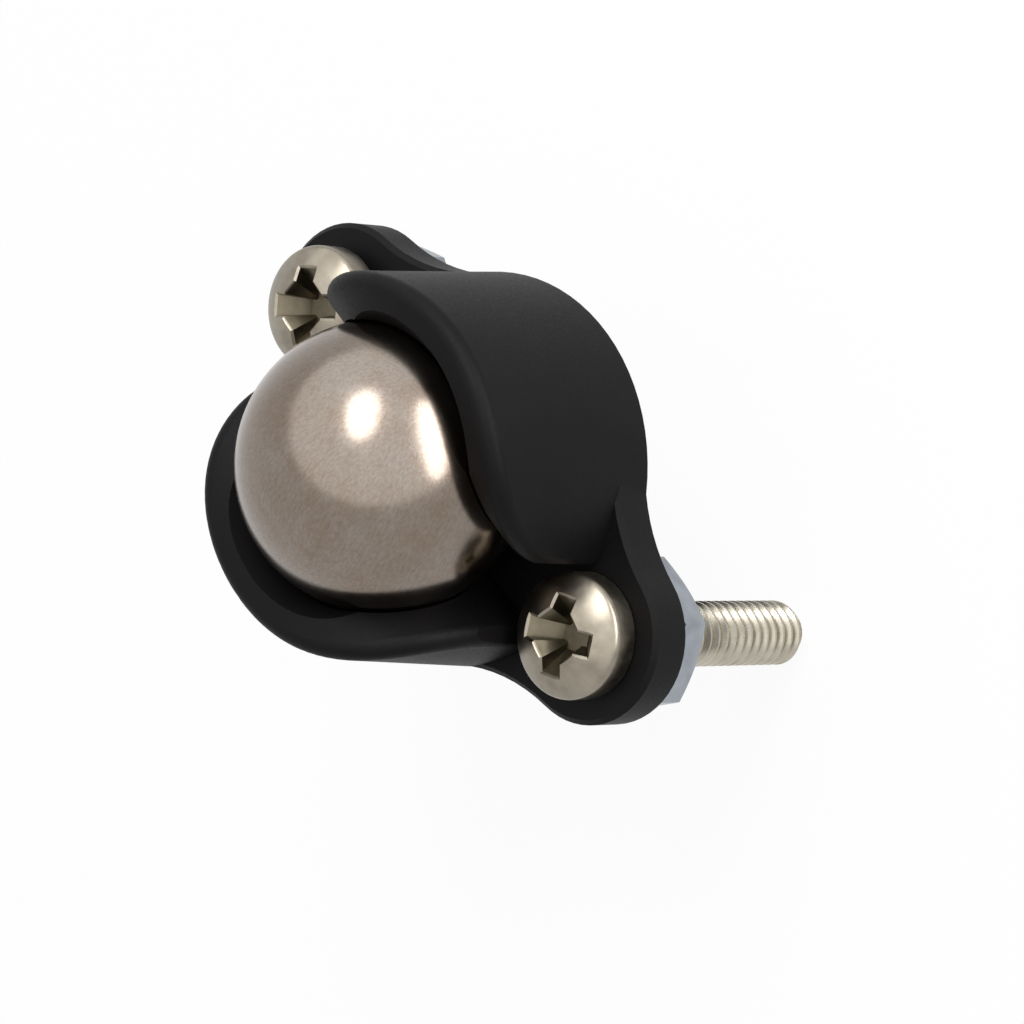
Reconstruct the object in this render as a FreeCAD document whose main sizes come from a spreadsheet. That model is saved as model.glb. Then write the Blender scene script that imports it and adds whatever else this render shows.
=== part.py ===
import FreeCAD, Part
import math
import os

import Sketcher

# Ball castor: a moulded two-lobe housing that snaps round a steel ball, held by two screws with nuts.
# Frame: millimetres, origin in the middle of the mounting face, +Z out through the ball, ears along X.

SIZES = {
    # Ball and its seat
    "ball_dia": 9.525,
    "seat_clearance": 0.08,
    "seat_floor": 0.6575,
    "lip_rise": 1.25,
    "lead_in_rise": 0.9,
    # Housing wall: a drafted round wall, parted into two lobes by a notch along X
    "wall_thickness": 1.7075,
    "wall_draft": 2.6,
    "rim_land": 1.0,
    "notch_width": 2.9,
    "shoulder_radius": 4.35,
    "rim_round": 0.45,
    # Ears
    "hole_spacing": 15.0,
    "ear_radius": 2.9,
    "plate_thickness": 1.52,
    "web_radius": 6.5,
    "web_sink": 0.1,
    "hole_clearance": 0.11,
    "head_clearance": 0.25,
    "ear_bevel": 0.17,
    # Pan-head screws
    "thread_dia": 2.18,
    "pitch_dia": 1.85,
    "screw_length": 11.0,
    "tip_chamfer": 0.4,
    "head_dia": 4.14,
    "head_height": 1.7,
    "head_side": 0.95,
    "head_round": 0.3,
    "recess_reach": 1.58,
    "recess_width": 0.78,
    "recess_depth": 1.25,
    "recess_floor_reach": 0.5,
    "recess_floor_width": 0.5,
    "left_screw_stand": 0.5,
    "right_screw_turn": 31.5,
    "left_screw_turn": 42.0,
    # Hexagon nuts
    "nut_flats": 4.76,
    "nut_thickness": 1.59,
    "nut_face_margin": 0.13,
    "nut_chamfer_angle": 30.0,
    "thread_fit": 0.02,
    "mouth_clearance": 0.06,
    "right_nut_turn": 54.0,
    "left_nut_turn": 27.0,
}

# Places and radii that follow from the sizes
RULES = {
    "ball_height": "seat_floor + seat_clearance + ball_dia / 2",
    "rim_height": "ball_height + lip_rise + lead_in_rise",
    "base_radius": "ball_dia / 2 + seat_clearance + wall_thickness",
    "rim_radius": "base_radius - rim_height * tan(wall_draft * 1 deg)",
    "lip_radius": "sqrt((ball_dia / 2 + seat_clearance) ^ 2 - lip_rise ^ 2)",
    "lead_in_slope": "(rim_radius - rim_land - lip_radius) / lead_in_rise",
    "right_grip": "plate_thickness + nut_thickness",
    "left_grip": "right_grip + left_screw_stand",
}

# A cut that has to run clear of the solid goes past it by this much.
OVERCUT = 0.2
# Two places nearer than this are the same place.
TOUCH = 0.001

doc = FreeCAD.newDocument("ball_castor")
sheet = doc.addObject("Spreadsheet::Sheet", "Sizes")
cells = [(alias, str(number)) for alias, number in SIZES.items()]
cells += [(alias, f"={rule}") for alias, rule in RULES.items()]
for row, (alias, content) in enumerate(cells, start=1):
    sheet.set(f"A{row}", alias)
    sheet.set(f"B{row}", content)
    sheet.setAlias(f"B{row}", alias)
    doc.recompute()

# Ends of a sketch line or arc, and the sketch's own origin and axes
START, END, CENTRE = range(1, 4)
X_AXIS, Y_AXIS = range(-1, -3, -1)
ORIGIN = (X_AXIS, START)


def value(alias):
    return float(sheet.get(alias))


def point(x, y):
    return FreeCAD.Vector(x, y, 0)


def tangent_of(degrees):
    return math.tan(math.radians(degrees))


def origin_feature(body, role):
    return next(item for item in body.Origin.OriginFeatures if item.Role == role)


def new_body(name):
    body = doc.addObject("PartDesign::Body", name)
    body.Label = name
    return body


def new_sketch(body, name, role, lift=None):
    """A sketch on one of the body's own origin planes, raised by an expression if one is given."""
    sketch = body.newObject("Sketcher::SketchObject", name)
    sketch.AttachmentSupport = [(origin_feature(body, role), "")]
    sketch.MapMode = "FlatFace"
    if lift:
        sketch.setExpression("AttachmentOffset.Base.z", lift)
    return sketch


def line(sketch, start, end):
    return sketch.addGeometry(Part.LineSegment(point(*start), point(*end)), False)


def arc(sketch, start, middle, end):
    return sketch.addGeometry(Part.Arc(point(*start), point(*middle), point(*end)), False)


def circle(sketch, centre, radius, helper=False):
    round_edge = Part.Circle(point(*centre), FreeCAD.Vector(0, 0, 1), radius)
    return sketch.addGeometry(round_edge, helper)


def tie(sketch, kind, *items):
    sketch.addConstraint(Sketcher.Constraint(kind, *items))


def dimension(sketch, kind, items, start_value, expression):
    index = sketch.addConstraint(Sketcher.Constraint(kind, *items, start_value))
    sketch.setExpression(f"Constraints[{index}]", expression)


def corner_x(sketch, edge, end, start_value, expression):
    dimension(sketch, "DistanceX", (*ORIGIN, edge, end), start_value, expression)


def corner_y(sketch, edge, end, start_value, expression):
    dimension(sketch, "DistanceY", (*ORIGIN, edge, end), start_value, expression)


def revolve(body, kind, name, sketch):
    feature = body.newObject(kind, name)
    feature.Profile = sketch
    feature.ReferenceAxis = (sketch, ["V_Axis"])
    feature.Angle = 360
    return feature


def edges_of(feature, wanted):
    doc.recompute()
    edges = enumerate(feature.Shape.Edges, start=1)
    return [f"Edge{i}" for i, edge in edges if not edge.Degenerated and wanted(edge)]


def is_circle(edge, radius):
    return isinstance(edge.Curve, Part.Circle) and abs(edge.Curve.Radius - radius) < TOUCH


def check_cut(feature):
    """A cut that points away from its solid takes nothing off and shows no error."""
    doc.recompute()
    if feature.Shape.Volume >= feature.BaseFeature.Shape.Volume:
        raise RuntimeError(f"{feature.Label} cuts nothing")


# Housing
def wall_sketch(body):
    """Drafted wall, left a little tall because the notch's shoulders shape the rim."""
    base, rim = value("base_radius"), value("rim_height") + OVERCUT
    top = base - rim * tangent_of(value("wall_draft"))
    sketch = new_sketch(body, "wall_profile", "XZ_Plane")
    floor = line(sketch, (0, 0), (base, 0))
    side = line(sketch, (base, 0), (top, rim))
    roof = line(sketch, (top, rim), (0, rim))
    axis = line(sketch, (0, rim), (0, 0))
    for edge, following in ((floor, side), (side, roof), (roof, axis)):
        tie(sketch, "Coincident", edge, END, following, START)
    tie(sketch, "Coincident", floor, START, *ORIGIN)
    tie(sketch, "Coincident", axis, END, *ORIGIN)
    tie(sketch, "Horizontal", floor)
    tie(sketch, "Horizontal", roof)
    tie(sketch, "Vertical", axis)
    corner_x(sketch, floor, END, base, "Sizes.base_radius")
    tall = f"Sizes.rim_height + {OVERCUT}"
    corner_y(sketch, roof, END, rim, tall)
    corner_x(sketch, side, END, top, f"Sizes.base_radius - ({tall}) * tan(Sizes.wall_draft * 1 deg)")
    return sketch


def ear_sketch(body):
    """Ear outline: a round end that runs in hollow webs into the round wall."""
    reach, ear, web = value("hole_spacing") / 2, value("ear_radius"), value("web_radius")
    sunk = value("base_radius") - value("web_sink")
    web_x = ((sunk + web) ** 2 - (ear + web) ** 2 + reach**2) / (2 * reach)
    web_y = math.sqrt((sunk + web) ** 2 - web_x**2)
    shrink = sunk / (sunk + web)
    share = ear / (ear + web)
    inner = (web_x * shrink, web_y * shrink)
    outer = (reach + (web_x - reach) * share, web_y * share)
    lean = math.atan2(inner[1] + outer[1] - 2 * web_y, inner[0] + outer[0] - 2 * web_x)
    waist = (web_x + web * math.cos(lean), web_y + web * math.sin(lean))

    def below(spot):
        return spot[0], -spot[1]

    sketch = new_sketch(body, "ear_outline", "XY_Plane")
    wall = circle(sketch, (0, 0), sunk, helper=True)
    tip = arc(sketch, below(outer), (reach + ear, 0), outer)
    upper = arc(sketch, outer, waist, inner)
    lower = arc(sketch, below(inner), below(waist), below(outer))
    root = line(sketch, inner, below(inner))
    # An arc in a sketch always runs anticlockwise, so a hollow arc starts at its other end.
    tie(sketch, "Coincident", wall, CENTRE, *ORIGIN)
    dimension(sketch, "Radius", (wall,), sunk, "Sizes.base_radius - Sizes.web_sink")
    tie(sketch, "PointOnObject", tip, CENTRE, X_AXIS)
    corner_x(sketch, tip, CENTRE, reach, "Sizes.hole_spacing / 2")
    dimension(sketch, "Radius", (tip,), ear, "Sizes.ear_radius")
    dimension(sketch, "Radius", (upper,), web, "Sizes.web_radius")
    tie(sketch, "Equal", upper, lower)
    tie(sketch, "Tangent", tip, END, upper, END)
    tie(sketch, "Tangent", lower, START, tip, START)
    tie(sketch, "Tangent", upper, START, wall)
    tie(sketch, "Tangent", lower, END, wall)
    tie(sketch, "Coincident", upper, START, root, START)
    tie(sketch, "Coincident", root, END, lower, END)
    return sketch


def seat_sketch(body):
    """Bowl that runs past the ball's middle to a snap lip, then a lead-in that opens to the rim."""
    radius, height = value("ball_dia") / 2 + value("seat_clearance"), value("ball_height")
    lip, top = height + value("lip_rise"), value("rim_height") + 2 * OVERCUT
    lip_radius = value("lip_radius")
    mouth = lip_radius + (top - lip) * value("lead_in_slope")
    middle = (radius * math.sqrt(0.5), height - radius * math.sqrt(0.5))
    lead_in_rule = f"(Sizes.lead_in_rise + {2 * OVERCUT}) * Sizes.lead_in_slope"
    sketch = new_sketch(body, "seat_profile", "XZ_Plane")
    bowl = arc(sketch, (0, height - radius), middle, (lip_radius, lip))
    lead_in = line(sketch, (lip_radius, lip), (mouth, top))
    roof = line(sketch, (mouth, top), (0, top))
    axis = line(sketch, (0, top), (0, height - radius))
    tie(sketch, "PointOnObject", bowl, CENTRE, Y_AXIS)
    tie(sketch, "PointOnObject", bowl, START, Y_AXIS)
    tie(sketch, "Coincident", bowl, END, lead_in, START)
    tie(sketch, "Coincident", lead_in, END, roof, START)
    tie(sketch, "Coincident", roof, END, axis, START)
    tie(sketch, "Coincident", axis, END, bowl, START)
    tie(sketch, "Horizontal", roof)
    tie(sketch, "Vertical", axis)
    corner_y(sketch, bowl, CENTRE, height, "Sizes.ball_height")
    dimension(sketch, "Radius", (bowl,), radius, "Sizes.ball_dia / 2 + Sizes.seat_clearance")
    corner_y(sketch, bowl, END, lip, "Sizes.ball_height + Sizes.lip_rise")
    corner_y(sketch, lead_in, END, top, f"Sizes.rim_height + {2 * OVERCUT}")
    dimension(sketch, "DistanceX", (lead_in, START, lead_in, END), mouth - lip_radius, lead_in_rule)
    return sketch


def notch_sketch(body):
    """Gap between the lobes seen along X: straight at the plate, then round shoulders over the rim."""
    half, shoulder = value("notch_width") / 2, value("shoulder_radius")
    floor, rim, wide = value("plate_thickness"), value("rim_height"), value("base_radius")
    waist, top = rim - shoulder, rim + 2 * OVERCUT
    edge_height = waist + math.sqrt(shoulder**2 - (wide - half - shoulder) ** 2)
    bend = shoulder * (1 - math.sqrt(0.5))
    sketch = new_sketch(body, "notch_profile", "YZ_Plane")
    base = line(sketch, (-half, floor), (half, floor))
    right = line(sketch, (half, floor), (half, waist))
    right_arc = arc(sketch, (half, waist), (half + bend, rim - bend), (wide, edge_height))
    right_top = line(sketch, (wide, edge_height), (wide, top))
    roof = line(sketch, (wide, top), (-wide, top))
    left_top = line(sketch, (-wide, top), (-wide, edge_height))
    left_arc = arc(sketch, (-wide, edge_height), (-half - bend, rim - bend), (-half, waist))
    left = line(sketch, (-half, waist), (-half, floor))
    tie(sketch, "Coincident", base, END, right, START)
    tie(sketch, "Tangent", right, END, right_arc, END)
    tie(sketch, "Coincident", right_arc, START, right_top, START)
    tie(sketch, "Coincident", right_top, END, roof, START)
    tie(sketch, "Coincident", roof, END, left_top, START)
    tie(sketch, "Coincident", left_top, END, left_arc, END)
    tie(sketch, "Tangent", left_arc, START, left, START)
    tie(sketch, "Coincident", left, END, base, START)
    for edge in (right, right_top, left_top, left):
        tie(sketch, "Vertical", edge)
    tie(sketch, "Symmetric", base, START, base, END, Y_AXIS)
    tie(sketch, "Symmetric", roof, START, roof, END, Y_AXIS)
    tie(sketch, "Equal", right_arc, left_arc)
    dimension(sketch, "DistanceX", (base, START, base, END), 2 * half, "Sizes.notch_width")
    dimension(sketch, "Radius", (right_arc,), shoulder, "Sizes.shoulder_radius")
    corner_y(sketch, base, END, floor, "Sizes.plate_thickness")
    for edge in (right_arc, left_arc):
        corner_y(sketch, edge, CENTRE, waist, "Sizes.rim_height - Sizes.shoulder_radius")
    corner_x(sketch, right_arc, START, wide, "Sizes.base_radius")
    corner_y(sketch, roof, START, top, f"Sizes.rim_height + {2 * OVERCUT}")
    return sketch


def ear_circle(body, name, radius, expression, lift=None):
    sketch = new_sketch(body, name, "XY_Plane", lift)
    edge = circle(sketch, (value("hole_spacing") / 2, 0), radius)
    tie(sketch, "PointOnObject", edge, CENTRE, X_AXIS)
    corner_x(sketch, edge, CENTRE, value("hole_spacing") / 2, "Sizes.hole_spacing / 2")
    dimension(sketch, "Radius", (edge,), radius, expression)
    return sketch


def upward_pocket(body, name, sketch):
    pocket = body.newObject("PartDesign::Pocket", name)
    pocket.Profile = sketch
    pocket.Type = "ThroughAll"
    pocket.Reversed = True
    doc.recompute()
    return pocket


def wall_gap(spot):
    """How far a place lies outside the drafted wall."""
    wall = value("base_radius") - spot.z * tangent_of(value("wall_draft"))
    return math.hypot(spot.x, spot.y) - wall


def on_lobe_rim(edge):
    """Outer edges of the lobes, over the shoulders and down to the plate."""
    first, middle, last = edge.discretize(3)
    on_wall = all(abs(wall_gap(spot)) < TOUCH for spot in (first, middle, last))
    return on_wall and middle.z > value("plate_thickness") + TOUCH


def on_ear_brow(edge):
    """Upper outer edge of the ears and of the webs beside them."""
    middle = edge.discretize(3)[1]
    level = edge.BoundBox.ZLength < TOUCH and abs(middle.z - value("plate_thickness")) < TOUCH
    from_hole = math.hypot(abs(middle.x) - value("hole_spacing") / 2, middle.y)
    return level and from_hole > value("ear_radius") - TOUCH and wall_gap(middle) > TOUCH


def ease_edges(body, kind, name, length, base, wanted):
    easing = body.newObject(kind, name)
    easing.Base = (base, edges_of(base, wanted))
    easing.setExpression(length, f"Sizes.{name}")
    check_cut(easing)


def make_housing():
    body = new_body("housing")
    revolve(body, "PartDesign::Revolution", "wall", wall_sketch(body))
    doc.recompute()

    ear = body.newObject("PartDesign::Pad", "ear")
    ear.Profile = ear_sketch(body)
    ear.setExpression("Length", "Sizes.plate_thickness")
    doc.recompute()

    seat = revolve(body, "PartDesign::Groove", "ball_seat", seat_sketch(body))
    check_cut(seat)

    notch = body.newObject("PartDesign::Pocket", "notch")
    notch.Profile = notch_sketch(body)
    notch.Type = "ThroughAll"
    notch.SideType = "Symmetric"
    check_cut(notch)
    ease_edges(body, "PartDesign::Fillet", "rim_round", "Radius", notch, on_lobe_rim)

    # Room for the screw head beside the lobe ends, where they reach that far out, and the screw hole
    head_radius = value("head_dia") / 2 + value("head_clearance")
    head_room = ear_circle(
        body, "head_room", head_radius, "Sizes.head_dia / 2 + Sizes.head_clearance", "Sizes.plate_thickness"
    )
    head_pocket = upward_pocket(body, "head_pocket", head_room)
    hole_radius = value("thread_dia") / 2 + value("hole_clearance")
    hole = ear_circle(body, "hole_edge", hole_radius, "Sizes.thread_dia / 2 + Sizes.hole_clearance")
    hole_pocket = upward_pocket(body, "screw_hole", hole)
    check_cut(hole_pocket)

    mirrored = body.newObject("PartDesign::Mirrored", "other_ear")
    mirrored.Originals = [ear, head_pocket, hole_pocket]
    mirrored.MirrorPlane = (origin_feature(body, "YZ_Plane"), [""])
    body.Tip = mirrored
    ease_edges(body, "PartDesign::Chamfer", "ear_bevel", "Size", mirrored, on_ear_brow)
    return body


# Ball
def make_ball():
    ball = doc.addObject("Part::Sphere", "ball")
    ball.Label = "ball"
    ball.setExpression("Radius", "Sizes.ball_dia / 2")
    ball.setExpression("Placement.Base.z", "Sizes.ball_height")
    return ball


# Screws
def screw_sketch(body, grip):
    """Half section: head, a grip at the pitch diameter as far as the nut reaches, then the free thread."""
    thread, length, chamfer = value("thread_dia") / 2, value("screw_length"), value("tip_chamfer")
    neck, held = value("pitch_dia") / 2, value(grip)
    head, height, side = value("head_dia") / 2, value("head_height"), value("head_side")
    dome = height - side
    crown = (head**2 + dome**2) / (2 * dome)
    lean = math.asin(head / crown) / 2
    shoulder = (crown * math.sin(lean), height - crown * (1 - math.cos(lean)))
    sketch = new_sketch(body, "screw_profile", "XZ_Plane")
    end = line(sketch, (0, -length), (thread - chamfer, -length))
    bevel = line(sketch, (thread - chamfer, -length), (thread, chamfer - length))
    stud = line(sketch, (thread, chamfer - length), (thread, -held))
    step = line(sketch, (thread, -held), (neck, -held))
    stem = line(sketch, (neck, -held), (neck, 0))
    under = line(sketch, (neck, 0), (head, 0))
    rim = line(sketch, (head, 0), (head, side))
    top = arc(sketch, (head, side), shoulder, (0, height))
    axis = line(sketch, (0, height), (0, -length))
    edges = (end, bevel, stud, step, stem, under, rim)
    for edge, following in zip(edges, edges[1:] + (top,)):
        tie(sketch, "Coincident", edge, END, following, START)
    tie(sketch, "Coincident", top, END, axis, START)
    tie(sketch, "Coincident", axis, END, end, START)
    tie(sketch, "PointOnObject", axis, START, Y_AXIS)
    tie(sketch, "PointOnObject", top, CENTRE, Y_AXIS)
    tie(sketch, "PointOnObject", stem, END, X_AXIS)
    for edge in (end, step, under):
        tie(sketch, "Horizontal", edge)
    for edge in (stud, stem, rim, axis):
        tie(sketch, "Vertical", edge)
    corner_x(sketch, stem, END, neck, "Sizes.pitch_dia / 2")
    corner_x(sketch, stud, END, thread, "Sizes.thread_dia / 2")
    dimension(sketch, "DistanceY", (stud, END, *ORIGIN), held, f"Sizes.{grip}")
    corner_x(sketch, end, END, thread - chamfer, "Sizes.thread_dia / 2 - Sizes.tip_chamfer")
    corner_x(sketch, under, END, head, "Sizes.head_dia / 2")
    corner_y(sketch, rim, END, side, "Sizes.head_side")
    corner_y(sketch, top, END, height, "Sizes.head_height")
    dimension(sketch, "DistanceY", (end, END, *ORIGIN), length, "Sizes.screw_length")
    dimension(sketch, "DistanceY", (bevel, START, bevel, END), chamfer, "Sizes.tip_chamfer")
    return sketch


def cross_sketch(body, name, reach, width, lift):
    """Outline of the cross recess at one depth: four square-ended arms about the axis."""
    far, near = value(reach), value(width) / 2
    corners = []
    for turn in range(4):
        turn_cos, turn_sin = round(math.cos(turn * math.pi / 2)), round(math.sin(turn * math.pi / 2))
        for x, y in ((far, -near), (far, near), (near, near)):
            corners.append((x * turn_cos - y * turn_sin, x * turn_sin + y * turn_cos))
    sketch = new_sketch(body, name, "XY_Plane", lift)
    edges = [line(sketch, corners[i], corners[(i + 1) % len(corners)]) for i in range(len(corners))]
    for i, edge in enumerate(edges):
        tie(sketch, "Coincident", edge, END, edges[(i + 1) % len(edges)], START)
    for i, edge in enumerate(edges):
        x, y = corners[i]
        for kind, number in (("DistanceX", x), ("DistanceY", y)):
            alias = f"Sizes.{reach}" if abs(number) == far else f"Sizes.{width} / 2"
            items = (*ORIGIN, edge, START) if number > 0 else (edge, START, *ORIGIN)
            dimension(sketch, kind, items, abs(number), alias)
    return sketch


def make_screw(side, direction, seat):
    """Pan-head screw, built with its underhead face at zero and set down on its seat."""
    body = new_body(f"{side}_screw")
    profile = screw_sketch(body, f"{side}_grip")
    turned = revolve(body, "PartDesign::Revolution", f"{side}_screw_turned", profile)
    brow = value("head_dia") / 2
    rounding = body.newObject("PartDesign::Fillet", f"{side}_head_round")
    corner = edges_of(
        turned,
        lambda edge: is_circle(edge, brow) and edge.BoundBox.ZMin > TOUCH,
    )
    rounding.Base = (turned, corner)
    rounding.setExpression("Radius", "Sizes.head_round")
    doc.recompute()

    mouth = cross_sketch(body, f"{side}_recess_mouth", "recess_reach", "recess_width", "Sizes.head_height")
    floor = cross_sketch(
        body,
        f"{side}_recess_floor",
        "recess_floor_reach",
        "recess_floor_width",
        "Sizes.head_height - Sizes.recess_depth",
    )
    recess = body.newObject("PartDesign::SubtractiveLoft", f"{side}_recess")
    recess.Profile = mouth
    recess.Sections = [floor]
    recess.Ruled = True
    check_cut(recess)
    body.setExpression("Placement.Base.x", f"{direction} * Sizes.hole_spacing / 2")
    body.setExpression("Placement.Base.z", seat)
    body.setExpression("Placement.Rotation.Angle", f"Sizes.{side}_screw_turn * 1 deg")
    return body


# Nuts
def hexagon_sketch(body):
    flats = value("nut_flats")
    corner = flats / math.sqrt(3)
    corners = [
        (corner * math.cos(k * math.pi / 3), corner * math.sin(k * math.pi / 3)) for k in range(6)
    ]
    sketch = new_sketch(body, f"{body.Label}_hexagon", "XY_Plane")
    edges = [line(sketch, corners[k], corners[(k + 1) % 6]) for k in range(6)]
    rim = circle(sketch, (0, 0), corner, helper=True)
    tie(sketch, "Coincident", rim, CENTRE, *ORIGIN)
    for k, edge in enumerate(edges):
        tie(sketch, "Coincident", edge, END, edges[(k + 1) % 6], START)
        tie(sketch, "PointOnObject", edge, START, rim)
    for edge in edges[1:]:
        tie(sketch, "Equal", edges[0], edge)
    tie(sketch, "PointOnObject", edges[0], START, X_AXIS)
    dimension(sketch, "Radius", (rim,), corner, "Sizes.nut_flats / sqrt(3)")
    return sketch


def nut_chamfer_sketch(body):
    """Rings of the corners that the double chamfer takes off, one at each face."""
    face, thick = value("nut_flats") / 2 - value("nut_face_margin"), value("nut_thickness")
    out = value("nut_flats") / math.sqrt(3) + OVERCUT
    drop = (out - face) * tangent_of(value("nut_chamfer_angle"))
    face_rule = "Sizes.nut_flats / 2 - Sizes.nut_face_margin"
    out_rule = f"Sizes.nut_flats / sqrt(3) + {OVERCUT}"
    drop_rule = f"({out_rule} - ({face_rule})) * tan(Sizes.nut_chamfer_angle * 1 deg)"
    sketch = new_sketch(body, f"{body.Label}_chamfer_rings", "XZ_Plane")
    for level, fall in ((0, -drop), (-thick, drop)):
        flat = line(sketch, (face, level), (out, level))
        back = line(sketch, (out, level), (out, level + fall))
        cone = line(sketch, (out, level + fall), (face, level))
        tie(sketch, "Coincident", flat, END, back, START)
        tie(sketch, "Coincident", back, END, cone, START)
        tie(sketch, "Coincident", cone, END, flat, START)
        tie(sketch, "Horizontal", flat)
        tie(sketch, "Vertical", back)
        corner_x(sketch, flat, START, face, face_rule)
        corner_x(sketch, flat, END, out, out_rule)
        if level:
            dimension(sketch, "DistanceY", (flat, START, *ORIGIN), thick, "Sizes.nut_thickness")
            dimension(sketch, "DistanceY", (back, START, back, END), drop, drop_rule)
        else:
            tie(sketch, "PointOnObject", flat, START, X_AXIS)
            dimension(sketch, "DistanceY", (back, END, back, START), drop, drop_rule)
    return sketch


def bore_sketch(body):
    radius = value("pitch_dia") / 2 + value("thread_fit")
    sketch = new_sketch(body, f"{body.Label}_bore_edge", "XY_Plane")
    edge = circle(sketch, (0, 0), radius)
    tie(sketch, "Coincident", edge, CENTRE, *ORIGIN)
    dimension(sketch, "Radius", (edge,), radius, "Sizes.pitch_dia / 2 + Sizes.thread_fit")
    return sketch


def make_nut(side, direction):
    """Hexagon nut, its upper face at the mounting face and its body below it."""
    body = new_body(f"{side}_nut")
    prism = body.newObject("PartDesign::Pad", f"{side}_nut_prism")
    prism.Profile = hexagon_sketch(body)
    prism.Reversed = True
    prism.setExpression("Length", "Sizes.nut_thickness")
    doc.recompute()
    chamfers = revolve(body, "PartDesign::Groove", f"{side}_nut_chamfers", nut_chamfer_sketch(body))
    check_cut(chamfers)
    bore = body.newObject("PartDesign::Pocket", f"{side}_nut_bore")
    bore.Profile = bore_sketch(body)
    bore.Type = "ThroughAll"
    check_cut(bore)
    bore_radius = value("pitch_dia") / 2 + value("thread_fit")
    mouths = edges_of(
        bore,
        lambda edge: is_circle(edge, bore_radius) and edge.BoundBox.ZLength < TOUCH,
    )
    countersinks = body.newObject("PartDesign::Chamfer", f"{side}_nut_countersinks")
    countersinks.Base = (bore, mouths)
    clear = "(Sizes.thread_dia - Sizes.pitch_dia) / 2 - Sizes.thread_fit + Sizes.mouth_clearance"
    countersinks.setExpression("Size", clear)
    check_cut(countersinks)
    body.setExpression("Placement.Base.x", f"{direction} * Sizes.hole_spacing / 2")
    body.setExpression("Placement.Rotation.Angle", f"Sizes.{side}_nut_turn * 1 deg")
    return body


# The left screw isn't driven home: its head stands a little off the ear.
SIDES = {"left": "-1", "right": "1"}
SEATS = {"left": "Sizes.plate_thickness + Sizes.left_screw_stand", "right": "Sizes.plate_thickness"}
pieces = [make_housing(), make_ball()]
pieces += [make_screw(side, direction, SEATS[side]) for side, direction in SIDES.items()]
pieces += [make_nut(side, direction) for side, direction in SIDES.items()]
doc.recompute()

# Nothing is written unless every object of the document is sound.
for item in doc.Objects:
    if {"Invalid", "Error"} & set(item.State):
        raise RuntimeError(f"{item.Label} is {item.State}")
for piece in pieces:
    if piece.Shape.isNull() or not piece.Shape.isValid():
        raise RuntimeError(f"{piece.Label} has no sound shape")

os.makedirs("parts", exist_ok=True)
for piece in pieces:
    piece.Shape.exportStep(f"parts/{piece.Label}.step")
    print(piece.Label, len(piece.Shape.Solids), round(piece.Shape.Volume, 3))
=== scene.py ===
import math

import bmesh
import bpy
from mathutils import Matrix, Vector


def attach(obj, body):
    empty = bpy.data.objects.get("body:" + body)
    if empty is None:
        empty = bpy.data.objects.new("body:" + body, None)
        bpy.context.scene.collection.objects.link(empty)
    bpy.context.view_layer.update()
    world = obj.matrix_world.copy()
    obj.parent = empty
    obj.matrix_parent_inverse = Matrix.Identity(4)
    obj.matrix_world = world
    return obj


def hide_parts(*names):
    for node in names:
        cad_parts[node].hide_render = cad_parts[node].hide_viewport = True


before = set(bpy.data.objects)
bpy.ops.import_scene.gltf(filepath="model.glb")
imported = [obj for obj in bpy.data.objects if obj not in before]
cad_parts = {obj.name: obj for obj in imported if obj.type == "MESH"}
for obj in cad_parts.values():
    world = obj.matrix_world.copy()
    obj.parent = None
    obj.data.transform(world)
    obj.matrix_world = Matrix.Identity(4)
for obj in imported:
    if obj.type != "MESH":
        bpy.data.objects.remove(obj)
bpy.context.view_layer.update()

# Sizes in millimetres. Those that the solids share are as in the part's source.
MM = 0.001
BALL_RADIUS = 4.7625
BALL_HEIGHT = 5.5
PLATE_TOP = 1.52
HOLE_REACH = 7.5
THREAD_PITCH = 0.4536
THREAD_RADIUS = 1.09
ROOT_RADIUS = 0.815
SCREW_LENGTH = 11.0
TIP_CHAMFER = 0.4
THREAD_TOP = -0.4
THREAD_TIP_GAP = 0.17
# Each end swells from this share of the section, over this share of the length.
THREAD_END_SHARE = 0.02
THREAD_RUN_OUT = 0.03
HEAD_RADIUS = 2.07
HEAD_HEIGHT = 1.7
HEAD_SIDE = 0.95
HEAD_ROUND = 0.3
HEAD_FOOT_CHAMFER = 0.06
RECESS_REACH = 1.58
RECESS_WIDTH = 0.78
RECESS_DEPTH = 1.25
RECESS_FLOOR_REACH = 0.5
RECESS_FLOOR_WIDTH = 0.5
# Finer than the solid's plain cross: flats between the arms and an eased lip
RECESS_FLAT = 0.9
RECESS_FLOOR_FLAT = 0.32
RECESS_LIP = 0.07
LIP_FLARE = 1.4 * RECESS_LIP
LIP_RUN_OUT = 0.4 * RECESS_LIP
PUNCH_OVERHANG = 0.3
LEFT_SCREW_STAND = 0.5
SCREWS = {
    "left": {"x": -HOLE_REACH, "seat": PLATE_TOP + LEFT_SCREW_STAND, "turn": 42.0},
    "right": {"x": HOLE_REACH, "seat": PLATE_TOP, "turn": 31.5},
}

# Facets of the round forms, and the edge angle past which shading stays sharp
SCREW_SEGMENTS = 72
BALL_RINGS = 96
BALL_SEGMENTS = 192
SHARP_DEGREES = 40


# Materials
def colour(code):
    """Linear colour of an sRGB hex value."""
    parts = [int(code[i : i + 2], 16) / 255 for i in (1, 3, 5)]
    return [p / 12.92 if p <= 0.04045 else ((p + 0.055) / 1.055) ** 2.4 for p in parts] + [1.0]


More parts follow.
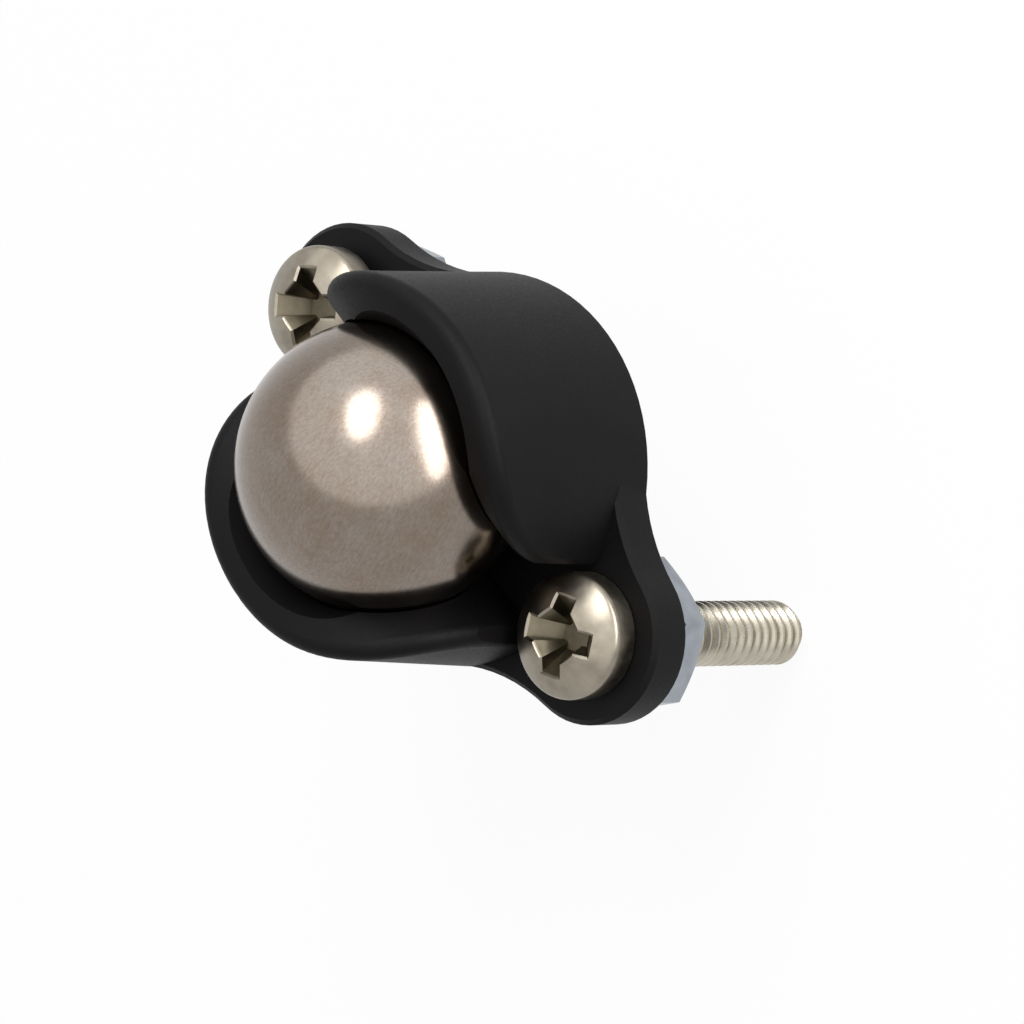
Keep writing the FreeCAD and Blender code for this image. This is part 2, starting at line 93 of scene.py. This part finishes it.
def add(tree, kind, settings=None, stops=(), **links):
    """A node with its settings and colour stops; links are socket values, or sockets to join."""
    node = tree.nodes.new(kind)
    for name, setting in (settings or {}).items():
        setattr(node, name, setting)
    for number, (place, shade) in enumerate(stops):
        elements = node.color_ramp.elements
        element = elements[number] if number < len(elements) else elements.new(place)
        element.position, element.color = place, shade
    for name, source in links.items():
        key = int(name[1:]) if name[0] == "_" else name.replace("_", " ")
        if isinstance(source, bpy.types.NodeSocket):
            tree.links.new(source, node.inputs[key])
        else:
            node.inputs[key].default_value = source
    return node


def per_mm(size):
    """Texture scale, in object metres, that gives features of about this size in millimetres."""
    return 1.0 / (size * MM)


def new_material(name, **sockets):
    material = bpy.data.materials.new(name)
    material.use_nodes = True
    tree = material.node_tree
    tree.nodes.clear()
    shader = add(tree, "ShaderNodeBsdfPrincipled", **sockets)
    add(tree, "ShaderNodeOutputMaterial", Surface=shader.outputs[0])
    return material, tree, shader


def grey(level):
    return (level, level, level, 1.0)


def moulded_abs():
    """Black ABS from a spark-finished mould: a soft grey sheen over a fine even grain."""
    material, tree, shader = new_material("moulded_black_abs", IOR=1.53, Specular_IOR_Level=0.1)
    place = add(tree, "ShaderNodeTexCoord").outputs["Object"]
    # The grain of the mould is about 0.03 mm, drawn at 0.09 mm so that it shows.
    grain = add(
        tree, "ShaderNodeTexNoise", Vector=place, Scale=per_mm(0.09), Detail=4.0, Roughness=0.6
    ).outputs["Fac"]
    cloud = add(
        tree, "ShaderNodeTexNoise", Vector=place, Scale=per_mm(2.5), Detail=3.0, Roughness=0.55
    ).outputs["Fac"]
    tones = [(0.3, colour("#070607")), (0.7, colour("#0b0a0a"))]
    tone = add(tree, "ShaderNodeValToRGB", stops=tones, Fac=cloud)
    rough = add(tree, "ShaderNodeValToRGB", stops=[(0.3, grey(0.46)), (0.75, grey(0.6))], Fac=grain)
    bump = add(tree, "ShaderNodeBump", Strength=0.22, Distance=0.02 * MM, Height=grain)
    tree.links.new(tone.outputs["Color"], shader.inputs["Base Color"])
    tree.links.new(rough.outputs["Color"], shader.inputs["Roughness"])
    tree.links.new(bump.outputs["Normal"], shader.inputs["Normal"])
    return material


def polished_ball_steel():
    """Polished steel, dulled by rolling: a soft mirror under a fine scuff, brown in patches of
    tarnish and painted reflection.
    """
    material, tree, shader = new_material("polished_scuffed_ball_steel", Metallic=1.0)
    place = add(tree, "ShaderNodeTexCoord").outputs["Object"]
    cloud = add(
        tree, "ShaderNodeTexNoise", Vector=place, Scale=per_mm(2.6), Detail=6.0, Roughness=0.62
    ).outputs["Fac"]
    # Polishing streaks are a few hundredths of a millimetre wide, drawn at 0.09 mm to show.
    drawn = add(
        tree, "ShaderNodeMapping", Vector=place, Rotation=(0.5, 0.3, 0.8), Scale=(1.0, 0.4, 1.0)
    ).outputs[0]
    mottle = add(
        tree, "ShaderNodeTexNoise", Vector=drawn, Scale=per_mm(0.09), Detail=5.0, Roughness=0.75
    ).outputs["Fac"]
    # Rolling marks are about 0.02 mm, drawn at 0.07 mm so that they show.
    pits = add(
        tree, "ShaderNodeTexNoise", Vector=place, Scale=per_mm(0.07), Detail=3.0, Roughness=0.65
    ).outputs["Fac"]
    tones = [(0.32, colour("#7b7067")), (0.68, colour("#8d867f"))]
    tone = add(tree, "ShaderNodeValToRGB", stops=tones, Fac=mottle)
    # A brown cast in patches of a few millimetres: partly tarnish, partly a painted reflection of
    # brown surroundings
    casts = [(0.36, colour("#f0e6dd")), (0.62, colour("#ffffff"))]
    brown_cast = add(tree, "ShaderNodeValToRGB", stops=casts, Fac=cloud)
    skin = add(
        tree,
        "ShaderNodeMix",
        {"data_type": "RGBA", "blend_type": "MULTIPLY"},
        _0=1.0,
        _6=tone.outputs["Color"],
        _7=brown_cast.outputs["Color"],
    )
    gloss = [(0.3, grey(0.15)), (0.72, grey(0.25))]
    rough = add(tree, "ShaderNodeValToRGB", stops=gloss, Fac=cloud)
    bump = add(tree, "ShaderNodeBump", Strength=0.15, Distance=0.005 * MM, Height=pits)
    tree.links.new(skin.outputs[2], shader.inputs["Base Color"])
    tree.links.new(rough.outputs["Color"], shader.inputs["Roughness"])
    tree.links.new(bump.outputs["Normal"], shader.inputs["Normal"])
    return material


def plated_steel(name, dark, light, rough_low, rough_high):
    """Electroplated steel: cloudy soft gloss over a faint ripple."""
    material, tree, shader = new_material(name, Metallic=1.0)
    place = add(tree, "ShaderNodeTexCoord").outputs["Object"]
    cloud = add(
        tree, "ShaderNodeTexNoise", Vector=place, Scale=per_mm(0.8), Detail=4.0, Roughness=0.55
    ).outputs["Fac"]
    # Plating ripple is finer than 0.05 mm, drawn at 0.12 mm so that it shows.
    ripple = add(
        tree, "ShaderNodeTexNoise", Vector=place, Scale=per_mm(0.12), Detail=3.0, Roughness=0.5
    ).outputs["Fac"]
    tones = [(0.3, colour(dark)), (0.7, colour(light))]
    tone = add(tree, "ShaderNodeValToRGB", stops=tones, Fac=cloud)
    gloss = [(0.3, grey(rough_low)), (0.7, grey(rough_high))]
    rough = add(tree, "ShaderNodeValToRGB", stops=gloss, Fac=cloud)
    bump = add(tree, "ShaderNodeBump", Strength=0.1, Distance=0.01 * MM, Height=ripple)
    tree.links.new(tone.outputs["Color"], shader.inputs["Base Color"])
    tree.links.new(rough.outputs["Color"], shader.inputs["Roughness"])
    tree.links.new(bump.outputs["Normal"], shader.inputs["Normal"])
    return material


ABS = moulded_abs()
BALL_STEEL = polished_ball_steel()
# Nickel over cold-headed steel: warm silver with broad soft reflections.
NICKEL = plated_steel("nickel_plated_screw_steel", "#7d7569", "#958e81", 0.26, 0.35)
# Painted shade in the punched recess: the same nickel made darker, with an olive cast, and duller.
RECESS_SHADE_NICKEL = plated_steel("nickel_with_painted_recess_shade", "#565043", "#6f6858", 0.28, 0.38)
# Painted light on the thread: the same nickel, made brighter.
LIT_THREAD_NICKEL = plated_steel("nickel_thread_with_painted_light", "#a69f91", "#bdb7aa", 0.22, 0.32)
# Zinc with a clear blue passivation: cool grey-white, softer reflections.
ZINC = plated_steel("blue_zinc_plated_nut_steel", "#8b9197", "#a0a6ac", 0.26, 0.38)


# Screws: turned form with a cross recess, and a rolled thread by Geometry Nodes
def thread_tree():
    """A ridge swept along a helix, thinned at both ends."""
    tree = bpy.data.node_groups.new("rolled_thread", "GeometryNodeTree")
    face = tree.interface
    for name in ("Pitch", "Root Radius", "Depth", "Length", "Top", "Run Out"):
        face.new_socket(name, in_out="INPUT", socket_type="NodeSocketFloat")
    face.new_socket("Metal", in_out="INPUT", socket_type="NodeSocketMaterial")
    face.new_socket("Geometry", in_out="OUTPUT", socket_type="NodeSocketGeometry")
    given = add(tree, "NodeGroupInput").outputs
    turns = add(
        tree, "ShaderNodeMath", {"operation": "DIVIDE"}, _0=given["Length"], _1=given["Pitch"]
    )
    helix = add(
        tree,
        "GeometryNodeCurveSpiral",
        Resolution=40,
        Rotations=turns.outputs[0],
        Start_Radius=given["Root Radius"],
        End_Radius=given["Root Radius"],
        Height=given["Length"],
        Reverse=True,
    )
    upright = add(tree, "GeometryNodeSetCurveNormal", {"mode": "Z_UP"}, Curve=helix.outputs[0])
    # Flank section in shares of depth and pitch: wide and sunk at the root, narrow at the crest
    section = add(
        tree,
        "GeometryNodeCurvePrimitiveQuadrilateral",
        {"mode": "POINTS"},
        Point_1=(-0.2, -0.47, 0.0),
        Point_2=(1.0, -0.1, 0.0),
        Point_3=(1.0, 0.1, 0.0),
        Point_4=(-0.2, 0.47, 0.0),
    )
    size = add(tree, "ShaderNodeCombineXYZ", X=given["Depth"], Y=given["Pitch"], Z=1.0)
    sized = add(tree, "GeometryNodeTransform", Geometry=section.outputs[0], Scale=size.outputs[0])
    along = add(tree, "GeometryNodeSplineParameter").outputs["Factor"]
    from_end = add(tree, "ShaderNodeMath", {"operation": "PINGPONG"}, _0=along, _1=0.5)
    swell = add(
        tree,
        "ShaderNodeMapRange",
        Value=from_end.outputs[0],
        From_Max=given["Run Out"],
        To_Min=THREAD_END_SHARE,
    )
    swept = add(
        tree,
        "GeometryNodeCurveToMesh",
        Curve=upright.outputs[0],
        Profile_Curve=sized.outputs[0],
        Scale=swell.outputs[0],
        Fill_Caps=True,
    )
    low = add(
        tree, "ShaderNodeMath", {"operation": "SUBTRACT"}, _0=given["Top"], _1=given["Length"]
    )
    drop = add(tree, "ShaderNodeCombineXYZ", Z=low.outputs[0]).outputs[0]
    placed = add(tree, "GeometryNodeTransform", Geometry=swept.outputs[0], Translation=drop)
    real = add(tree, "GeometryNodeRealizeInstances", Geometry=placed.outputs[0]).outputs[0]
    painted = add(tree, "GeometryNodeSetMaterial", Geometry=real, Material=given["Metal"])
    add(tree, "NodeGroupOutput", Geometry=painted.outputs[0])
    return tree


def evaluated_mesh(carrier):
    graph = bpy.context.evaluated_depsgraph_get()
    return bpy.data.meshes.new_from_object(carrier.evaluated_get(graph), depsgraph=graph)


def thread_mesh(tree, sizes):
    carrier = bpy.data.objects.new("thread_carrier", bpy.data.meshes.new("thread_carrier"))
    bpy.context.collection.objects.link(carrier)
    modifier = carrier.modifiers.new("thread", "NODES")
    modifier.node_group = tree
    for item in tree.interface.items_tree:
        if item.in_out == "INPUT" and item.name in sizes:
            modifier[item.identifier] = sizes[item.name]
    mesh = evaluated_mesh(carrier)
    bpy.data.objects.remove(carrier)
    return mesh


SCREW_METALS = (NICKEL, RECESS_SHADE_NICKEL, LIT_THREAD_NICKEL)
CROWN_RISE = HEAD_HEIGHT - HEAD_SIDE
CROWN_RADIUS = (HEAD_RADIUS**2 + CROWN_RISE**2) / (2 * CROWN_RISE)


def crown_height(radius):
    return HEAD_HEIGHT - CROWN_RADIUS + math.sqrt(CROWN_RADIUS**2 - radius**2)


def finish_at(spot):
    """Which of the screw's metals a place has: plating, the recess's painted shade or the shank's
    painted light.
    """
    # Below the head, the brighter nickel stands for painted light on the shank.
    if spot.z < 0.0:
        return SCREW_METALS.index(LIT_THREAD_NICKEL)
    radius = math.hypot(spot.x, spot.y)
    just_under_floor = HEAD_HEIGHT - RECESS_DEPTH - 0.01
    inside = radius < RECESS_REACH and spot.z > just_under_floor
    # Recess walls under the lip get the darker nickel: painted shade.
    painted_shade = inside and spot.z < crown_height(radius) - RECESS_LIP
    return SCREW_METALS.index(RECESS_SHADE_NICKEL if painted_shade else NICKEL)


def head_profile():
    """Half section of the head and the thread's core, from the crown to the tip."""
    crown = CROWN_RADIUS
    crown_steps, brow_steps = 14, 8
    # The rounded brow touches the side wall and the crown from inside.
    brow_x = HEAD_RADIUS - HEAD_ROUND
    brow_z = HEAD_HEIGHT - crown + math.sqrt((crown - HEAD_ROUND) ** 2 - brow_x**2)
    lean = math.atan2(brow_x, brow_z - HEAD_HEIGHT + crown)
    points = []
    for step in range(crown_steps + 1):
        angle = lean * step / crown_steps
        points.append((crown * math.sin(angle), HEAD_HEIGHT - crown * (1 - math.cos(angle))))
    for step in range(1, brow_steps + 1):
        angle = lean + (math.pi / 2 - lean) * step / brow_steps
        reach, rise = HEAD_ROUND * math.sin(angle), HEAD_ROUND * math.cos(angle)
        points.append((brow_x + reach, brow_z + rise))
    points += [(HEAD_RADIUS, HEAD_FOOT_CHAMFER), (HEAD_RADIUS - HEAD_FOOT_CHAMFER, 0.0)]
    # The core is chamfered by what the thread's depth leaves of the tip's chamfer.
    chamfer = TIP_CHAMFER - (THREAD_RADIUS - ROOT_RADIUS)
    points += [(ROOT_RADIUS, 0.0), (ROOT_RADIUS, chamfer - SCREW_LENGTH)]
    points += [(ROOT_RADIUS - chamfer, -SCREW_LENGTH), (0.0, -SCREW_LENGTH)]
    return points


def turned_mesh(name, points, segments):
    """A closed solid of revolution about Z from a half section that starts and ends on the axis."""
    work = bmesh.new()
    turns = [2 * math.pi * k / segments for k in range(segments)]
    rings = []
    for radius, height in points:
        on_axis = radius < 1e-6
        if on_axis:
            rings.append([work.verts.new((0, 0, height))])
            continue
        spots = [(radius * math.cos(turn), radius * math.sin(turn), height) for turn in turns]
        rings.append([work.verts.new(spot) for spot in spots])
    for upper, lower in zip(rings, rings[1:]):
        for k in range(segments):
            after = (k + 1) % segments
            corners = [upper[k % len(upper)], lower[k % len(lower)]]
            corners += [lower[after % len(lower)], upper[after % len(upper)]]
            # On the axis a ring is one point, and its faces are triangles.
            work.faces.new(list(dict.fromkeys(corners)))
    bmesh.ops.recalc_face_normals(work, faces=work.faces)
    mesh = bpy.data.meshes.new(name)
    work.to_mesh(mesh)
    work.free()
    return mesh


def recess_outline(share, grow):
    """Cross with flats between its arms: its floor for a share of 0, the crown's height for 1."""
    far = RECESS_FLOOR_REACH + (RECESS_REACH - RECESS_FLOOR_REACH) * share + grow
    near = (RECESS_FLOOR_WIDTH + (RECESS_WIDTH - RECESS_FLOOR_WIDTH) * share) / 2 + grow
    flat = RECESS_FLOOR_FLAT + (RECESS_FLAT - RECESS_FLOOR_FLAT) * share
    flat += grow * (math.sqrt(2) - 1)
    arm = ((far, -near), (far, near), (flat, near), (near, flat))
    turns = [Matrix.Rotation(turn * math.pi / 2, 2) for turn in range(4)]
    return [turn @ Vector(corner) for turn in turns for corner in arm]


def lip_share(corner):
    """Share of the recess's height at which one corner comes up to the lip, found by halving."""
    low, high = 0.0, 1.0
    halvings = 20
    for _ in range(halvings):
        share = (low + high) / 2
        height = HEAD_HEIGHT - RECESS_DEPTH * (1 - share)
        if height < crown_height(recess_outline(share, 0.0)[corner].length) - RECESS_LIP:
            low = share
        else:
            high = share
    return low


def cross_cutter(name):
    """Tapered cross punch that flares to an eased lip at the crown, and runs out above it."""
    bottom = recess_outline(0.0, 0.0)
    corners = range(len(bottom))
    floor, under, over, top = [], [], [], []
    for corner in corners:
        share = lip_share(corner)
        mouth = recess_outline(share, 0.0)[corner]
        wide = recess_outline(share, LIP_FLARE)[corner]
        floor.append((*bottom[corner], HEAD_HEIGHT - RECESS_DEPTH))
        under.append((*mouth, HEAD_HEIGHT - RECESS_DEPTH * (1 - share)))
        over.append((*wide, crown_height(wide.length) + LIP_RUN_OUT))
        top.append((*wide, HEAD_HEIGHT + PUNCH_OVERHANG))
    work = bmesh.new()
    rings = [[work.verts.new(spot) for spot in ring] for ring in (floor, under, over, top)]
    for lower, upper in zip(rings, rings[1:]):
        for k in corners:
            after = (k + 1) % len(corners)
            work.faces.new((lower[k], lower[after], upper[after], upper[k]))
    work.faces.new(rings[0][::-1])
    work.faces.new(rings[-1])
    bmesh.ops.recalc_face_normals(work, faces=work.faces)
    mesh = bpy.data.meshes.new(name)
    work.to_mesh(mesh)
    work.free()
    cutter = bpy.data.objects.new(name, mesh)
    bpy.context.collection.objects.link(cutter)
    return cutter


def smooth(mesh, degrees):
    """Smooth shading except over edges sharper than this."""
    mesh.shade_smooth()
    mesh.set_sharp_from_angle(angle=math.radians(degrees))


def make_screw(side, tree):
    """Turned head and core, punched with the recess and joined with the thread's ridge."""
    blank = turned_mesh(f"{side}_screw", head_profile(), SCREW_SEGMENTS)
    screw = bpy.data.objects.new(f"{side}_screw_threaded", blank)
    bpy.context.collection.objects.link(screw)
    cutter = cross_cutter(f"{side}_recess_punch")
    ridge_mesh = thread_mesh(
        tree,
        {
            "Pitch": THREAD_PITCH,
            "Root Radius": ROOT_RADIUS,
            "Depth": THREAD_RADIUS - ROOT_RADIUS,
            "Length": SCREW_LENGTH + THREAD_TOP - THREAD_TIP_GAP,
            "Top": THREAD_TOP,
            "Run Out": THREAD_RUN_OUT,
            "Metal": LIT_THREAD_NICKEL,
        },
    )
    ridge = bpy.data.objects.new(f"{side}_thread_ridge", ridge_mesh)
    bpy.context.collection.objects.link(ridge)
    for operation, tool in (("DIFFERENCE", cutter), ("UNION", ridge)):
        modifier = screw.modifiers.new(operation.lower(), "BOOLEAN")
        modifier.operation = operation
        modifier.solver = "EXACT"
        modifier.object = tool
    mesh = evaluated_mesh(screw)
    screw.modifiers.clear()
    for tool in (cutter, ridge):
        bpy.data.objects.remove(tool)

    work = bmesh.new()
    work.from_mesh(mesh)
    for face in work.faces:
        face.material_index = finish_at(face.calc_center_median())
    place = SCREWS[side]
    turn = Matrix.Rotation(math.radians(place["turn"]), 4, "Z")
    shift = Matrix.Translation((place["x"], 0.0, place["seat"]))
    bmesh.ops.transform(work, matrix=Matrix.Scale(MM, 4) @ shift @ turn, verts=work.verts)
    bmesh.ops.recalc_face_normals(work, faces=work.faces)
    mesh.materials.clear()
    for metal in SCREW_METALS:
        mesh.materials.append(metal)
    work.to_mesh(mesh)
    work.free()
    screw.data = mesh
    smooth(mesh, SHARP_DEGREES)
    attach(screw, "housing")
    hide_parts(f"{side}_screw")


thread = thread_tree()
for side in SCREWS:
    make_screw(side, thread)

# Ball: the same sphere as the solid's, with rings fine enough for a mirror finish
ball_angles = [math.pi * k / BALL_RINGS for k in range(BALL_RINGS + 1)]
ball_points = [(BALL_RADIUS * math.sin(a), BALL_RADIUS * math.cos(a)) for a in ball_angles]
ball_points[0], ball_points[-1] = (0.0, BALL_RADIUS), (0.0, -BALL_RADIUS)
ball_mesh = turned_mesh("ball_polished", ball_points, BALL_SEGMENTS)
ball_mesh.transform(Matrix.Scale(MM, 4) @ Matrix.Translation((0, 0, BALL_HEIGHT)))
ball_mesh.materials.append(BALL_STEEL)
ball_mesh.shade_smooth()
ball = bpy.data.objects.new("ball_polished", ball_mesh)
bpy.context.collection.objects.link(ball)
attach(ball, "ball")
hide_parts("ball")

# Solids that keep their own shape
for node, material in (("housing", ABS), ("left_nut", ZINC), ("right_nut", ZINC)):
    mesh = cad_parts[node].data
    mesh.materials.clear()
    mesh.materials.append(material)

# Floor under the screw tips: white to the camera, with the object's own soft shadow
FLOOR_HEIGHT = (PLATE_TOP - SCREW_LENGTH) * MM
FLOOR_HALF = 0.13
# The rest of the floor's white is lit, and so keeps the shadow.
FLOOR_GLOW = 0.93


def shows_background(tree):
    """1 for the rays that show the white background: camera, mirror and transmission rays."""
    path = add(tree, "ShaderNodeLightPath").outputs
    seen = path["Is Camera Ray"]
    for name in ("Is Glossy Ray", "Is Transmission Ray"):
        either = add(tree, "ShaderNodeMath", {"operation": "MAXIMUM"}, _0=seen, _1=path[name])
        seen = either.outputs[0]
    return seen


def white_floor():
    """Matt white board: plain white where the background shows, with the object's soft shade."""
    material = bpy.data.materials.new("matt_white_board")
    material.use_nodes = True
    tree = material.node_tree
    tree.nodes.clear()
    board = add(tree, "ShaderNodeBsdfDiffuse", Color=colour("#f4f4f4"))
    glow = add(tree, "ShaderNodeEmission", Color=grey(1.0), Strength=1.0)
    most = add(
        tree, "ShaderNodeMath", {"operation": "MULTIPLY"}, _0=shows_background(tree), _1=FLOOR_GLOW
    )
    mixed = add(
        tree, "ShaderNodeMixShader", _0=most.outputs[0], _1=board.outputs[0], _2=glow.outputs[0]
    )
    add(tree, "ShaderNodeOutputMaterial", Surface=mixed.outputs[0])
    return material


floor_mesh = bpy.data.meshes.new("floor")
quarters = ((-1, -1), (1, -1), (1, 1), (-1, 1))
floor_corners = [(x * FLOOR_HALF, y * FLOOR_HALF, FLOOR_HEIGHT) for x, y in quarters]
floor_mesh.from_pydata(floor_corners, [], [(0, 1, 2, 3)])
floor_mesh.materials.append(white_floor())
floor = bpy.data.objects.new("floor", floor_mesh)
bpy.context.collection.objects.link(floor)

# Camera, fitted to the photograph: it looks down on the ball side and is turned on its side
CAMERA_AZIMUTH = math.radians(135.14)
CAMERA_ELEVATION = math.radians(51.0)
CAMERA_ROLL = math.radians(-88.97)
CAMERA_DISTANCE = 154.26
CAMERA_AIM = Vector((1.396, -0.575, -0.467))
PIXELS_ACROSS = 1024
FOCAL_PIXELS = 4661.4
SENSOR_WIDTH = 36.0

back = Vector(
    (
        math.sin(CAMERA_AZIMUTH) * math.cos(CAMERA_ELEVATION),
        -math.cos(CAMERA_AZIMUTH) * math.cos(CAMERA_ELEVATION),
        math.sin(CAMERA_ELEVATION),
    )
)
level = Vector((math.cos(CAMERA_AZIMUTH), math.sin(CAMERA_AZIMUTH), 0.0))
rise = back.cross(level)
right = level * math.cos(CAMERA_ROLL) + rise * math.sin(CAMERA_ROLL)
up = back.cross(right)
camera_data = bpy.data.cameras.new("camera")
camera_data.sensor_width = SENSOR_WIDTH
camera_data.lens = SENSOR_WIDTH * FOCAL_PIXELS / PIXELS_ACROSS
camera_data.clip_start = 0.01
camera_data.clip_end = 10.0
camera = bpy.data.objects.new("camera", camera_data)
bpy.context.collection.objects.link(camera)
camera.matrix_world = Matrix.Translation((CAMERA_AIM + back * CAMERA_DISTANCE) * MM) @ Matrix(
    (right, up, back)
).transposed().to_4x4()
bpy.context.scene.camera = camera


# Soft boxes in metres and watts, placed by the directions in which the ball mirrors them
def soft_box(name, direction, distance, width, height, power):
    """Oval lamp that faces the object, upright as the camera sees it."""
    lamp = bpy.data.lights.new(name, "AREA")
    lamp.shape = "ELLIPSE"
    lamp.size = width
    lamp.size_y = height
    lamp.energy = power
    box = bpy.data.objects.new(name, lamp)
    box.visible_camera = False
    bpy.context.collection.objects.link(box)
    away = Vector(direction).normalized()
    across = up.cross(away).normalized()
    box.matrix_world = Matrix.Translation(away * distance) @ Matrix(
        (across, away.cross(across), away)
    ).transposed().to_4x4()


soft_box("fill_box", (-0.1, 0.75, 0.65), 0.6, 3.0, 3.0, 18.0)
soft_box("key_box", (-0.243, 0.640, 0.729), 0.5, 0.21, 0.36, 1.2)
soft_box("strip_box", (0.416, 0.899, 0.134), 0.5, 0.2, 0.55, 1.7)

# White surroundings to the camera, mirror and transmission rays, an even soft light to all else
AMBIENT = 0.12
world = bpy.data.worlds.new("studio")
bpy.context.scene.world = world
world.use_nodes = True
tree = world.node_tree
tree.nodes.clear()
level_of_light = add(
    tree, "ShaderNodeMapRange", Value=shows_background(tree), To_Min=AMBIENT, To_Max=1.0
)
white = add(tree, "ShaderNodeBackground", Color=grey(1.0), Strength=level_of_light.outputs[0])
add(tree, "ShaderNodeOutputWorld", Surface=white.outputs[0])

bpy.context.scene.view_settings.view_transform = "Standard"
